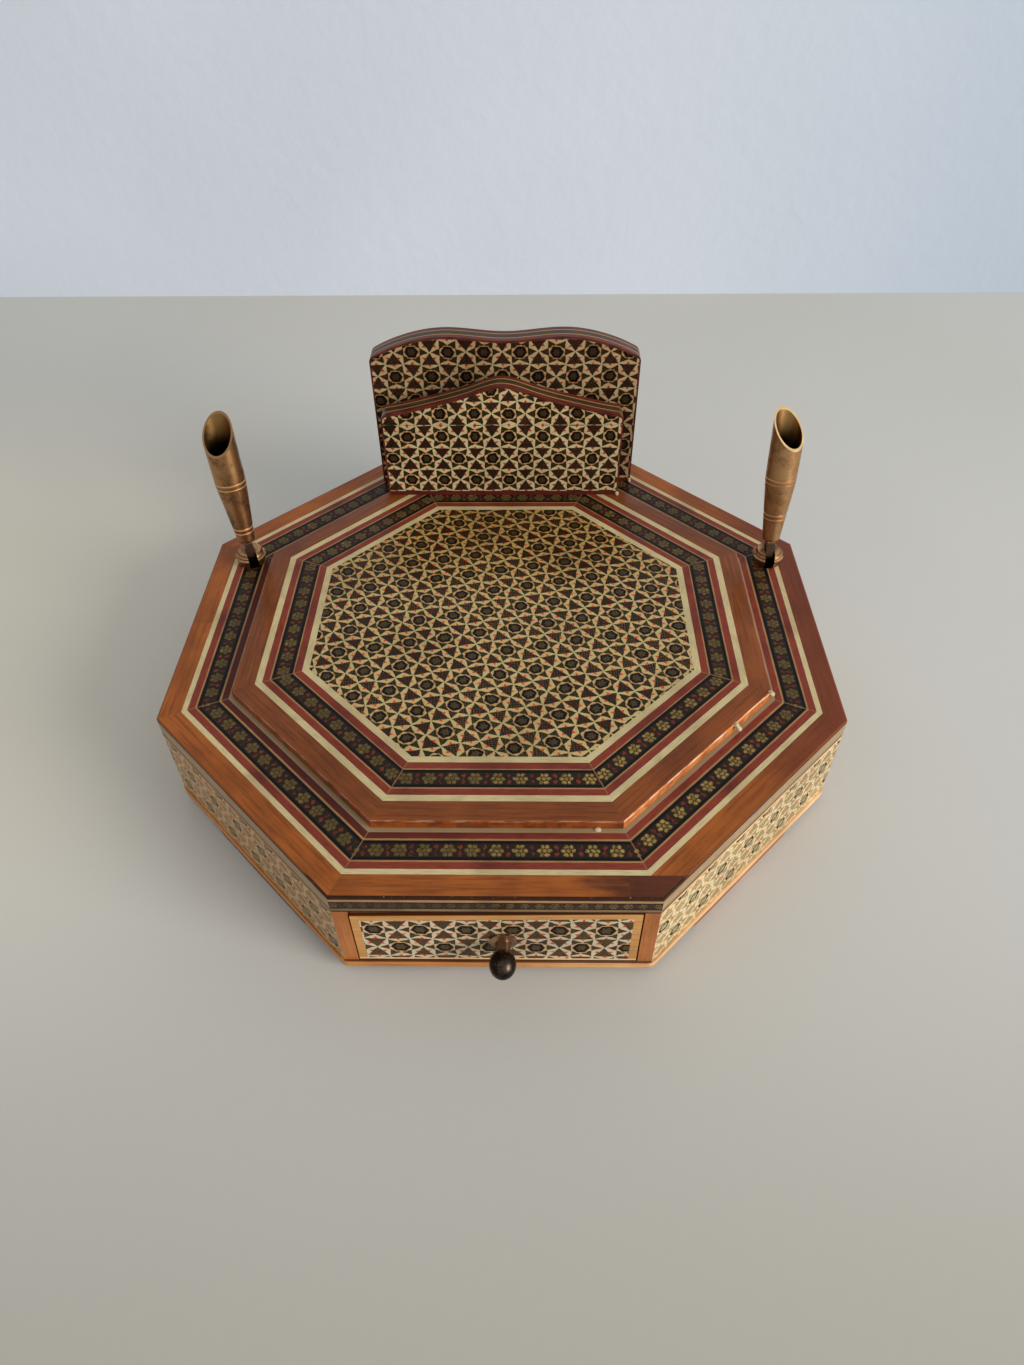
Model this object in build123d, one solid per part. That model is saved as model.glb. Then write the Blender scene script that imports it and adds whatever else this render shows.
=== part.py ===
from build123d import *
import os
from math import radians, sqrt, tan

# Octagonal pen stand: a case with one drawer, an inlaid top in two steps, a letter rack
# and two brass pen holders. Millimetres, +Z up, the drawer opens towards -Y.
# The origin is the middle of the stand's bounding box, on the surface under its feet;
# the octagon's centre lies a little behind it, because the knob reaches out in front.

# ---------------------------------------------------------------- case
across_flats = 240.0         # lower deck, flat side to flat side
foot_height = 3.0
foot_length = 57.0
foot_width = 9.0
foot_inset = 0.4             # from the bottom board's edge
foot_end_slant = 3.0         # how far a foot's end leans in, top to bottom
bottom_board_thickness = 4.0
bottom_board_proud = 0.6     # reach past the walls
bottom_corner_radius = 4.0
bottom_edge_radius = 0.8
case_room_height = 29.7      # clear height between the bottom board and the deck
wall_thickness = 4.0
side_sheet_thickness = 1.0   # inlaid sheet on the outside of a wall
bead_height = 1.3            # light wood line along the top of a wall
guide_thickness = 4.0
post_width = 4.7             # along the front, beside the drawer

# ---------------------------------------------------------------- lower deck
edge_trim_depth = 1.2        # thickness of the strips around the deck's edge
edge_top_line_depth = 0.6    # the same for the dark line that shows from above
edge_dark_line = 1.5         # heights of the edge trim, from the top down
edge_gold_line = 1.2
edge_inlay_height = 3.8
edge_foot_line = 0.6
deck_inlay_depth = 1.2       # the inlay on the top is let in this deep

# widths of the inlay on the lower deck, from its edge inwards
deck_border_width = 7.9
deck_cream_width = 1.9
deck_red_width = 2.5
deck_gold_width = 0.75
deck_band_width = 6.9
deck_inner_gold_width = 0.85
deck_inner_red_width = 2.3

# ---------------------------------------------------------------- raised tier
tier_inset = 24.8            # from the lower deck's edge
tier_overlap = 1.0           # what the lower deck's inner cream line runs under the tier
tier_height = 3.6
tier_inlay_depth = 1.2
tier_border_width = 7.7
tier_cream_width = 2.4
tier_red_width = 2.5
tier_gold_width = 0.7
tier_band_width = 6.9
tier_inner_gold_width = 0.6
tier_inner_red_width = 2.65
tier_inner_cream_width = 2.45

# ---------------------------------------------------------------- letter rack
rack_thickness = 9.0         # of each board with its sheets
rack_sheet_thickness = 1.5
rack_strip_thickness = 1.0   # layered strip over the top edge
rack_side_strip = 0.7        # the same down both sides
rack_base_line = 2.0         # red line along the foot of each face
rack_corner_radius = 3.0

front_board_setback = 14.5   # its face, in from the tier's back edge
front_board_width = 100.8
front_board_offset = -1.2    # it was glued on slightly left of the middle
front_peak_height = 51.7     # heights above the board's own foot
front_flank_height = 48.2
front_shoulder_height = 43.3
front_end_height = 38.6
front_flank_reach = 12.5     # distances from the board's middle
front_shoulder_reach = 29.0

back_board_gap = 1.3         # its face, behind the tier's back edge
back_board_width = 112.2
back_dip_height = 66.7
back_hump_height = 68.5
back_shoulder_height = 65.4
back_end_height = 59.3
back_hump_reach = 25.5
back_shoulder_reach = 42.5

# ---------------------------------------------------------------- pen holders
left_boss_inset = 15.3       # boss centre, in from the octagon's left and right side
right_boss_inset = 12.1
boss_from_corner = 11.2      # boss centre, forward of the octagon's back side corners
boss_foot_radius = 5.2
boss_rim_radius = 6.2
boss_rim_height = 3.6
boss_neck_radius = 5.4
boss_neck_height = 4.0
boss_height = 6.4
boss_crown_radius = 2.0      # rounding of the boss's top edge
slot_width = 3.6
slot_floor = 0.9             # height of the slot's floor above the deck
pin_height = 4.0             # cross pin above the deck
pin_radius = 1.0
pin_recess = 0.5             # how far each pin end lies inside the boss's rim
stud_radius = 2.0
stud_reach = 5.0             # stud below the deck
nut_height = 2.6
nut_across_flats = 7.0
tongue_thickness = 3.0
tongue_radius = 2.7
turning_clearance = 0.05     # pin in tongue, stud in deck and in nut

funnel_foot_radius = 3.3
funnel_waist_radius = 5.95
funnel_mouth_radius = 6.15
funnel_wall = 0.7
funnel_foot_rounding = 1.5
funnel_foot_at = 5.6         # distances from the cross pin along the funnel
funnel_bore_from = 14.0
funnel_waist_at = 31.3
funnel_mouth_at = 51.0       # middle of the slanting mouth
mouth_slant = 49.0           # degrees
groove_depth = 0.3
groove_width = 0.7
groove_pitch = 1.9

left_slot_heading = 114.5    # degrees, the way the slot and the lean point
left_lean = 9.0              # degrees from upright
left_mouth_roll = -31.0      # degrees, the mouth turned about the funnel's own axis
left_lower_groove = 11.4     # distance from the pin
right_slot_heading = 86.5
right_lean = 13.7
right_mouth_roll = 29.0
right_lower_groove = 16.6

# ---------------------------------------------------------------- drawer
drawer_side_gap = 0.5        # to the post and the guide, each side
drawer_back_gap = 0.5        # to the back wall when shut
drawer_foot_gap = 0.6        # under the front
drawer_top_gap_left = 2.9    # above the front: it is cut slightly out of square
drawer_top_gap_right = 1.0
drawer_front_thickness = 5.0
drawer_sheet_thickness = 1.5
drawer_border_side = 2.6
drawer_border_top = 2.5
drawer_border_foot = 0.9
drawer_side_thickness = 4.0
drawer_side_drop = 1.0       # drawer sides lower than the front's low corner
drawer_floor_thickness = 2.5
drawer_floor_lift = 1.0      # floor above the drawer sides' lower edge
knob_offset = 2.0            # right of the middle
knob_drop = 16.7             # its centre, below the opening's top edge
knob_radius = 4.2
knob_half_length = 4.7
knob_neck_radius = 2.4
knob_reach = 8.2             # centre of the knob, in front of the drawer's face
rosette_radius = 4.3
rosette_height = 1.4
screw_radius = 1.2
screw_head_radius = 2.6
screw_head_height = 1.2
screw_in_knob = 5.0          # depth of the hole in the knob
screw_tip_room = 1.0         # between the screw's tip and the end of that hole
screw_clearance = 0.05

# ---------------------------------------------------------------- worked out
SIDES = 8
OVERCUT = 1.0                # what a cut or a hole runs past the solid it goes through
SIDE_ANGLE = 360 / SIDES
HALF_TAN = tan(radians(SIDE_ANGLE / 2))
SIDE_NAMES = ["front", "front_right", "right", "back_right",
              "back", "back_left", "left", "front_left"]

deck_apothem = across_flats / 2
deck_thickness = 2 * edge_gold_line + edge_dark_line + edge_inlay_height + edge_foot_line
board_top = foot_height + bottom_board_thickness
room_top = board_top + case_room_height
deck_top = room_top + deck_thickness
tier_apothem = deck_apothem - tier_inset
tier_top = deck_top + tier_height
wall_outside = deck_apothem - side_sheet_thickness
wall_inside = wall_outside - wall_thickness
opening_half = deck_apothem * HALF_TAN - post_width
drawer_half = opening_half - drawer_side_gap
centre_shift = (knob_reach + knob_half_length - bottom_board_proud) / 2


def octagon(apothem):
    """Regular octagon with flat sides towards the axes."""
    corner = apothem * HALF_TAN
    points = [(corner, -apothem), (apothem, -corner), (apothem, corner), (corner, apothem),
              (-corner, apothem), (-apothem, corner), (-apothem, -corner), (-corner, -apothem)]
    return make_face(Polyline(*points, close=True))


def plate(apothem, low, high):
    return Pos(0, 0, low) * extrude(octagon(apothem), high - low)


def ring(outer, inner, low, high):
    return Pos(0, 0, low) * extrude(octagon(outer) - octagon(inner), high - low)


def side_piece(side, outer, inner, low, high):
    """One mitred side of an octagonal frame."""
    outline = Polyline((-outer * HALF_TAN, -outer), (outer * HALF_TAN, -outer),
                       (inner * HALF_TAN, -inner), (-inner * HALF_TAN, -inner), close=True)
    return Rot(0, 0, SIDE_ANGLE * side) * Pos(0, 0, low) * extrude(make_face(outline), high - low)


def block(x_low, x_high, y_low, y_high, z_low, z_high):
    corner = (Align.MIN, Align.MIN, Align.MIN)
    return Pos(x_low, y_low, z_low) * Box(x_high - x_low, y_high - y_low, z_high - z_low,
                                          align=corner)


def rod(radius, length, z_low=0.0):
    return Pos(0, 0, z_low) * Cylinder(radius, length, align=(Align.CENTER, Align.CENTER, Align.MIN))


def along_y(solid):
    """Turn a solid that stands on +Z so that it points to -Y."""
    return Rot(90, 0, 0) * solid


def slab(face, y_low, y_high):
    """Solid between two depths whose outline is a face in the XZ plane."""
    return Pos(0, y_low, 0) * extrude(face, y_high - y_low, dir=(0, 1, 0))


# ---------------------------------------------------------------- case
def bottom_board():
    board = plate(deck_apothem + bottom_board_proud, foot_height, board_top)
    board = fillet(board.edges().filter_by(Axis.Z), bottom_corner_radius)
    return fillet(board.edges().group_by(Axis.Z)[0], bottom_edge_radius)


def foot(side):
    outside = deck_apothem + bottom_board_proud - foot_inset
    top = foot_length / 2
    low = top - foot_end_slant
    profile = Polyline((-low, 0), (low, 0), (top, foot_height), (-top, foot_height), close=True)
    strip = slab(make_face(Plane.XZ * profile), -outside, foot_width - outside)
    return Rot(0, 0, SIDE_ANGLE * side) * strip


def wall(side):
    return side_piece(side, wall_outside, wall_inside, board_top, room_top)


def side_sheets():
    top = room_top - bead_height
    return [side_piece(side, deck_apothem, wall_outside, board_top, top) for side in range(1, SIDES)]


def wall_beads():
    low = room_top - bead_height
    return [side_piece(side, deck_apothem, wall_outside, low, room_top) for side in range(1, SIDES)]


def front_posts():
    frame = side_piece(0, deck_apothem, wall_inside, board_top, room_top)
    opening = block(-opening_half, opening_half, -deck_apothem - OVERCUT, 0,
                    board_top - OVERCUT, room_top + OVERCUT)
    left, right = (frame - opening).solids().sort_by(Axis.X)
    return left, right


def guide(direction):
    """Board beside the drawer, from the post to the back wall; direction is -1 or 1."""
    inner = direction * opening_half
    outer = direction * (opening_half + guide_thickness)
    strip = block(min(inner, outer), max(inner, outer), -wall_inside, wall_inside,
                  board_top, room_top)
    room = plate(wall_inside, board_top, room_top)
    return strip & room


# ---------------------------------------------------------------- tops and inlay
def inlay_rings(edge, widths, low, high):
    """Nested octagonal rings, from the edge inwards, one for each width."""
    rings = []
    for width in widths:
        rings.append(ring(edge, edge - width, low, high))
        edge -= width
    return rings, edge


def stud_holes():
    hole = rod(stud_radius + turning_clearance, deck_thickness + 2 * OVERCUT, room_top - OVERCUT)
    return [Pos(x, y, 0) * hole for x, y in (boss_place("left"), boss_place("right"))]


def drilled(solid):
    for hole in stud_holes():
        solid -= hole
    return solid


def lower_deck():
    inlay_floor = deck_top - deck_inlay_depth
    trim_inside = deck_apothem - edge_trim_depth
    core = plate(deck_apothem, room_top, deck_top)
    dark_low = deck_top - edge_dark_line
    gold_low = dark_low - edge_gold_line
    inlay_low = gold_low - edge_inlay_height
    foot_low = inlay_low - edge_gold_line
    trim = {
        "deck_edge_dark_lines": [
            ring(deck_apothem, deck_apothem - edge_top_line_depth, dark_low, deck_top),
            ring(deck_apothem, trim_inside, room_top, foot_low)],
        "deck_edge_gold_lines": [
            ring(deck_apothem, trim_inside, gold_low, dark_low),
            ring(deck_apothem, trim_inside, foot_low, inlay_low)],
        "deck_edge_khatam_strip": [ring(deck_apothem, trim_inside, inlay_low, gold_low)],
    }
    widths = [deck_border_width - edge_top_line_depth, deck_cream_width, deck_red_width,
              deck_gold_width, deck_band_width, deck_inner_gold_width, deck_inner_red_width]
    rings, inner = inlay_rings(deck_apothem - edge_top_line_depth, widths, inlay_floor, deck_top)
    last = ring(inner, tier_apothem - tier_overlap, inlay_floor, deck_top)
    border, cream, red, gold, band, inner_gold, inner_red = [drilled(r) for r in rings]
    inlay = {
        "deck_wood_border": [border],
        "deck_cream_lines": [cream, last],
        "deck_red_lines": [red, inner_red],
        "deck_gold_lines": [gold, inner_gold],
        "deck_khatam_band": [band],
    }
    for solids in list(trim.values()) + list(inlay.values()):
        for solid in solids:
            core -= solid
    return {"deck_board": [drilled(core)], **trim, **inlay}


def raised_tier():
    inlay_floor = tier_top - tier_inlay_depth
    widths = [tier_border_width, tier_cream_width, tier_red_width, tier_gold_width,
              tier_band_width, tier_inner_gold_width, tier_inner_red_width,
              tier_inner_cream_width]
    rings, field_edge = inlay_rings(tier_apothem, widths, inlay_floor, tier_top)
    border, cream, red, gold, band, inner_gold, inner_red, inner_cream = rings
    return {
        "tier_board": [plate(tier_apothem, deck_top, inlay_floor)],
        "tier_wood_border": [border],
        "tier_cream_lines": [cream, inner_cream],
        "tier_red_lines": [red, inner_red],
        "tier_gold_lines": [gold, inner_gold],
        "tier_khatam_band": [band],
        "tier_khatam_field": [plate(field_edge, inlay_floor, tier_top)],
    }


# ---------------------------------------------------------------- letter rack
def shaped_face(half_width, foot, middle, points, drop=0.0):
    """Outline of a rack board in the XZ plane: straight foot and sides, curved top.
    points run from the middle to the right-hand end, and the left half mirrors them."""
    right = [(x, foot + z - drop) for x, z in points]
    left = [(-x, z) for x, z in reversed(right[1:])]
    top = Spline(*(left + right))
    end = right[-1][1]
    sides = Polyline((half_width, end), (half_width, foot), (-half_width, foot),
                     (-half_width, end))
    return Pos(middle, 0, 0) * make_face(Plane.XZ * (top + sides))


def rack_board(name, half_width, face_y, foot, middle, points):
    """One board of the rack: core, two inlaid sheets, edge strip and red base lines."""
    back_y = face_y + rack_thickness
    whole = slab(shaped_face(half_width, foot, middle, points), face_y, back_y)
    corners = whole.edges().filter_by(Axis.Y).group_by(Axis.Z)[1]
    whole = fillet(corners, rack_corner_radius)
    lowered = slab(shaped_face(half_width, foot, middle, points, rack_strip_thickness),
                   face_y, back_y)
    lowered = fillet(lowered.edges().filter_by(Axis.Y).group_by(Axis.Z)[1], rack_corner_radius)
    inner_half = half_width - rack_side_strip
    left, right = middle - inner_half, middle + inner_half
    top = foot + 2 * back_hump_height
    filling = lowered & block(left, right, face_y, back_y, foot, top)
    strip = whole - filling
    line_top = foot + rack_base_line
    sheets = []
    lines = []
    for y in (face_y, back_y - rack_sheet_thickness):
        sheets.append(filling & block(left, right, y, y + rack_sheet_thickness, line_top, top))
        lines.append(block(left, right, y, y + rack_sheet_thickness, foot, line_top))
    core = filling & block(left, right, face_y + rack_sheet_thickness,
                           back_y - rack_sheet_thickness, foot, top)
    return {f"{name}_board": [core], f"{name}_khatam_sheets": sheets,
            f"{name}_edge_strip": [strip], f"{name}_base_lines": lines}


def letter_rack():
    front_half = front_board_width / 2
    front_points = [(0, front_peak_height), (front_flank_reach, front_flank_height),
                    (front_shoulder_reach, front_shoulder_height), (front_half, front_end_height)]
    back_half = back_board_width / 2
    back_points = [(0, back_dip_height), (back_hump_reach, back_hump_height),
                   (back_shoulder_reach, back_shoulder_height), (back_half, back_end_height)]
    front = rack_board("letter_front", front_half, tier_apothem - front_board_setback,
                       tier_top, front_board_offset, front_points)
    back = rack_board("letter_back", back_half, tier_apothem + back_board_gap,
                      deck_top, 0.0, back_points)
    return {**front, **back}


# ---------------------------------------------------------------- pen holders
def boss_place(side):
    y = deck_apothem * HALF_TAN - boss_from_corner
    if side == "left":
        return left_boss_inset - deck_apothem, y
    return deck_apothem - right_boss_inset, y


def boss():
    """Slotted brass boss standing on z = 0, slot along X, with its stud below."""
    profile = Polyline((0, 0), (boss_foot_radius, 0), (boss_rim_radius, boss_rim_height),
                       (boss_neck_radius, boss_neck_height), (boss_neck_radius, boss_height),
                       (0, boss_height), close=True)
    body = revolve(make_face(Plane.XZ * profile), Axis.Z)
    body = fillet(body.edges().group_by(Axis.Z)[-1], boss_crown_radius)
    reach = 2 * boss_rim_radius
    slot = block(-reach, reach, -slot_width / 2, slot_width / 2, slot_floor, 2 * boss_height)
    pin_hole = Pos(0, 0, pin_height) * Rot(90, 0, 0) * Cylinder(pin_radius, 2 * reach)
    stud = rod(stud_radius, deck_thickness + stud_reach, -deck_thickness - stud_reach)
    return body - slot - pin_hole + stud


def cross_pin():
    length = 2 * (sqrt(boss_rim_radius ** 2 - pin_radius ** 2) - pin_recess)
    return Pos(0, 0, pin_height) * Rot(90, 0, 0) * Cylinder(pin_radius, length)


def nut():
    corner = nut_across_flats / sqrt(3)
    body = extrude(RegularPolygon(corner, 6), -nut_height)
    hole = rod(stud_radius + turning_clearance, nut_height + 2 * OVERCUT, -nut_height - OVERCUT)
    return body - hole


def funnel(roll, lower_groove):
    """Pen funnel on the Z axis with its cross pin at the origin, leaning plane XZ."""
    top = funnel_mouth_at + funnel_mouth_radius * tan(radians(mouth_slant)) + OVERCUT
    outline = Polyline((0, funnel_foot_at), (funnel_foot_radius, funnel_foot_at),
                       (funnel_waist_radius, funnel_waist_at), (funnel_mouth_radius, top),
                       (0, top), close=True)
    body = revolve(make_face(Plane.XZ * outline), Axis.Z)
    body = fillet(body.edges().group_by(Axis.Z)[0], funnel_foot_rounding)
    bore_slope = (funnel_waist_radius - funnel_foot_radius) / (funnel_waist_at - funnel_foot_at)
    bore_foot = funnel_foot_radius + bore_slope * (funnel_bore_from - funnel_foot_at) - funnel_wall
    bore_outline = Polyline((0, funnel_bore_from), (bore_foot, funnel_bore_from),
                            (funnel_waist_radius - funnel_wall, funnel_waist_at),
                            (funnel_mouth_radius - funnel_wall, top), (0, top), close=True)
    body -= revolve(make_face(Plane.XZ * bore_outline), Axis.Z)
    for at in (lower_groove, funnel_waist_at):
        radius = funnel_foot_radius + bore_slope * (at - funnel_foot_at)
        for height in (at - groove_pitch / 2, at + groove_pitch / 2):
            body -= groove(radius, height)
    cutter = Rot(0, 0, roll) * Pos(0, 0, funnel_mouth_at) * Rot(0, -mouth_slant, 0)
    body -= cutter * Box(2 * top, 2 * top, 2 * top, align=(Align.CENTER, Align.CENTER, Align.MIN))
    half = tongue_thickness / 2
    tongue = rod(tongue_radius, tongue_thickness, -half)
    tongue += block(-tongue_radius, tongue_radius, 0, funnel_foot_at + funnel_foot_rounding,
                    -half, half)
    tongue -= rod(pin_radius + turning_clearance, tongue_thickness + 2 * OVERCUT, -half - OVERCUT)
    return body + Rot(90, 0, 0) * tongue


def groove(radius, height):
    """Turned groove of V section."""
    section = Polyline((radius + groove_depth, height - groove_width),
                       (radius - groove_depth, height),
                       (radius + groove_depth, height + groove_width), close=True)
    return revolve(make_face(Plane.XZ * section), Axis.Z)


def pen_holder(side, heading, lean, roll, lower_groove):
    x, y = boss_place(side)
    place = Pos(x, y, deck_top) * Rot(0, 0, heading)
    tilt = place * Pos(0, 0, pin_height) * Rot(0, lean, 0)
    return {
        f"{side}_boss": [place * boss()],
        f"{side}_boss_nut": [Pos(0, 0, -deck_thickness) * place * nut()],
        f"{side}_cross_pin": [place * cross_pin()],
        f"{side}_funnel": [tilt * funnel(roll, lower_groove)],
    }


# ---------------------------------------------------------------- drawer
def drawer_face(inset_side, inset_top, inset_foot):
    """Outline of the drawer's front in the XZ plane, lower at its top left corner."""
    half = drawer_half - inset_side
    low = board_top + drawer_foot_gap + inset_foot
    left_top = room_top - drawer_top_gap_left - inset_top
    right_top = room_top - drawer_top_gap_right - inset_top
    outline = Polyline((-half, low), (half, low), (half, right_top), (-half, left_top), close=True)
    return make_face(Plane.XZ * outline)


def drawer():
    face_y = -deck_apothem
    board_y = face_y + drawer_sheet_thickness
    box_y = board_y + drawer_front_thickness
    back_y = wall_inside - drawer_back_gap
    half = drawer_half
    side_top = room_top - drawer_top_gap_left - drawer_side_drop
    floor_low = board_top + drawer_floor_lift
    floor_top = floor_low + drawer_floor_thickness
    inner = half - drawer_side_thickness
    knob_z = room_top - knob_drop
    screw_hole = Pos(knob_offset, box_y + OVERCUT, knob_z) * along_y(
        rod(screw_radius + screw_clearance, box_y - face_y + 2 * OVERCUT))

    facing = drawer_face(0, 0, 0)
    sheet = drawer_face(drawer_border_side, drawer_border_top, drawer_border_foot)
    front = slab(facing, board_y, box_y) - screw_hole
    khatam = slab(sheet, face_y, board_y) - screw_hole
    border = slab(facing, face_y, board_y) - slab(sheet, face_y, board_y)
    left_side = block(-half, -inner, box_y, back_y, board_top, side_top)
    right_side = block(inner, half, box_y, back_y, board_top, side_top)
    back = block(-inner, inner, back_y - drawer_side_thickness, back_y, floor_top, side_top)
    floor = block(-inner, inner, box_y, back_y, floor_low, floor_top)
    return {
        "drawer_front": [front],
        "drawer_khatam_sheet": [khatam],
        "drawer_border": [border],
        "drawer_left_side": [left_side],
        "drawer_right_side": [right_side],
        "drawer_back": [back],
        "drawer_floor": [floor],
        **drawer_pull(face_y, box_y, knob_z),
    }


def drawer_pull(face_y, box_y, knob_z):
    """Knob, rosette and the screw that holds them, built on +Z and turned to the front."""
    neck_end = knob_reach - sqrt(1 - (knob_neck_radius / knob_radius) ** 2) * knob_half_length
    ball = Pos(0, 0, knob_reach) * scale(Sphere(knob_radius), (1, 1, knob_half_length / knob_radius))
    neck = rod(knob_neck_radius, neck_end + OVERCUT - rosette_height, rosette_height)
    knob = neck + ball - rod(screw_radius + screw_clearance, screw_in_knob, rosette_height)
    profile = Polyline((0, 0), (rosette_radius, 0), (rosette_radius, rosette_height / 2),
                       (rosette_radius - rosette_height, rosette_height), (0, rosette_height),
                       close=True)
    rosette = revolve(make_face(Plane.XZ * profile), Axis.Z)
    rosette -= rod(screw_radius + screw_clearance, rosette_height + 2 * OVERCUT, -OVERCUT)
    depth = box_y - face_y
    screw = rod(screw_radius, depth + rosette_height + screw_in_knob - screw_tip_room, -depth)
    screw += rod(screw_head_radius, screw_head_height, -depth - screw_head_height)
    place = Pos(knob_offset, face_y, knob_z)
    return {"knob": [place * along_y(knob)], "knob_rosette": [place * along_y(rosette)],
            "knob_screw": [place * along_y(screw)]}


# ---------------------------------------------------------------- the whole stand
def pieces():
    left_post, right_post = front_posts()
    nodes = {"bottom_board": [bottom_board()]}
    for side in (1, 3, 5, 7):
        nodes[f"foot_{SIDE_NAMES[side]}"] = [foot(side)]
    for side in range(1, SIDES):
        nodes[f"wall_{SIDE_NAMES[side]}"] = [wall(side)]
    nodes.update({
        "wall_khatam_sheets": side_sheets(),
        "wall_beads": wall_beads(),
        "post_left": [left_post],
        "post_right": [right_post],
        "guide_left": [guide(-1)],
        "guide_right": [guide(1)],
    })
    nodes.update(lower_deck())
    nodes.update(raised_tier())
    nodes.update(letter_rack())
    nodes.update(pen_holder("left", left_slot_heading, left_lean, left_mouth_roll,
                            left_lower_groove))
    nodes.update(pen_holder("right", right_slot_heading, right_lean, right_mouth_roll,
                            right_lower_groove))
    nodes.update(drawer())
    return nodes


def main():
    os.makedirs("parts", exist_ok=True)
    for name, solids in pieces().items():
        flat = [Pos(0, centre_shift, 0) * solid for shape in solids for solid in shape.solids()]
        shape = flat[0] if len(flat) == 1 else Compound(children=flat)
        export_step(shape, f"parts/{name}.step")


main()
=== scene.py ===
from math import cos, pi, radians, sin, tan

import bmesh
import bpy
from mathutils import Matrix, Vector


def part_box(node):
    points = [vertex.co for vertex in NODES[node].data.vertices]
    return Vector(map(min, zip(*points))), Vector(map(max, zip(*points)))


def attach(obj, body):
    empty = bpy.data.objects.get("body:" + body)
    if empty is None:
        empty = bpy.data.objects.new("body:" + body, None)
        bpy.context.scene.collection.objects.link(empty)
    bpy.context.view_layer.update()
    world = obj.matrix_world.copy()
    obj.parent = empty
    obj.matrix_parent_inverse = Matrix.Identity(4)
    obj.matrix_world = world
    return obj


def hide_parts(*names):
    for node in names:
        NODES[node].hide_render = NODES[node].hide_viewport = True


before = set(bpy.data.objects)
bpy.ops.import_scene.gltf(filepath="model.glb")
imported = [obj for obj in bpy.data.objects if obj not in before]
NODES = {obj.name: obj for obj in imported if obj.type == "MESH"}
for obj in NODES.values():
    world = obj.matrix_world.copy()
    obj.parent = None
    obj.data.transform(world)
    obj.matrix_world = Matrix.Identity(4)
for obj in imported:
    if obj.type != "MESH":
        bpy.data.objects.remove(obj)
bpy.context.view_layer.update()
MM = 0.001

# ---------------- places, from the frame
edge_low, edge_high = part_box("deck_edge_dark_lines")
tier_low, tier_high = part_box("tier_wood_border")
strip_low, strip_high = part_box("deck_edge_khatam_strip")
front_low, front_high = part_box("letter_front_edge_strip")
back_low, back_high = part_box("letter_back_edge_strip")
drawer_low, drawer_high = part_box("drawer_khatam_sheet")
_, board_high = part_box("bottom_board")
knob_low, knob_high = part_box("knob")
CENTRE_Y = (edge_low.y + edge_high.y) / 2
DECK_TOP = edge_high.z
MIDDLE = (0.0, CENTRE_Y, 0.0)          # of the octagon, on the table

# in millimetres, out from the octagon's middle or up from the table
DECK_EDGE = (edge_high.x - edge_low.x) / 2 / MM
TIER_EDGE = (tier_high.x - tier_low.x) / 2 / MM
DECK_LEVEL, TIER_LEVEL = DECK_TOP / MM, tier_high.z / MM
STRIP_MIDDLE = (strip_low.z + strip_high.z) / 2 / MM
DECK_BORDER, TIER_BORDER = 7.9, 7.7    # widths of the two wood borders
DECK_BAND, TIER_BAND = 103.5, 78.45    # centre lines of the two flower bands
TIER_LINES_END = 90.0                  # inlay further out than this lies on the deck

# the octagon's sides are numbered anticlockwise from the one that faces right
FRONT_SIDE, FRONT_RIGHT_SIDE = -2, -1


def paint(red, green, blue):
    """A colour as seen on the piece, 0 to 255, turned into the shader's own scale."""
    def part(value):
        share = value / 255
        return share / 12.92 if share <= 0.04045 else ((share + 0.055) / 1.055) ** 2.4
    return (part(red), part(green), part(blue), 1.0)


CREAM = paint(200, 181, 134)
CRIMSON = paint(130, 54, 36)
GOLD = paint(176, 126, 74)
DULL_GOLD = paint(130, 92, 60)
BLACK = paint(9, 9, 9)


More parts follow.
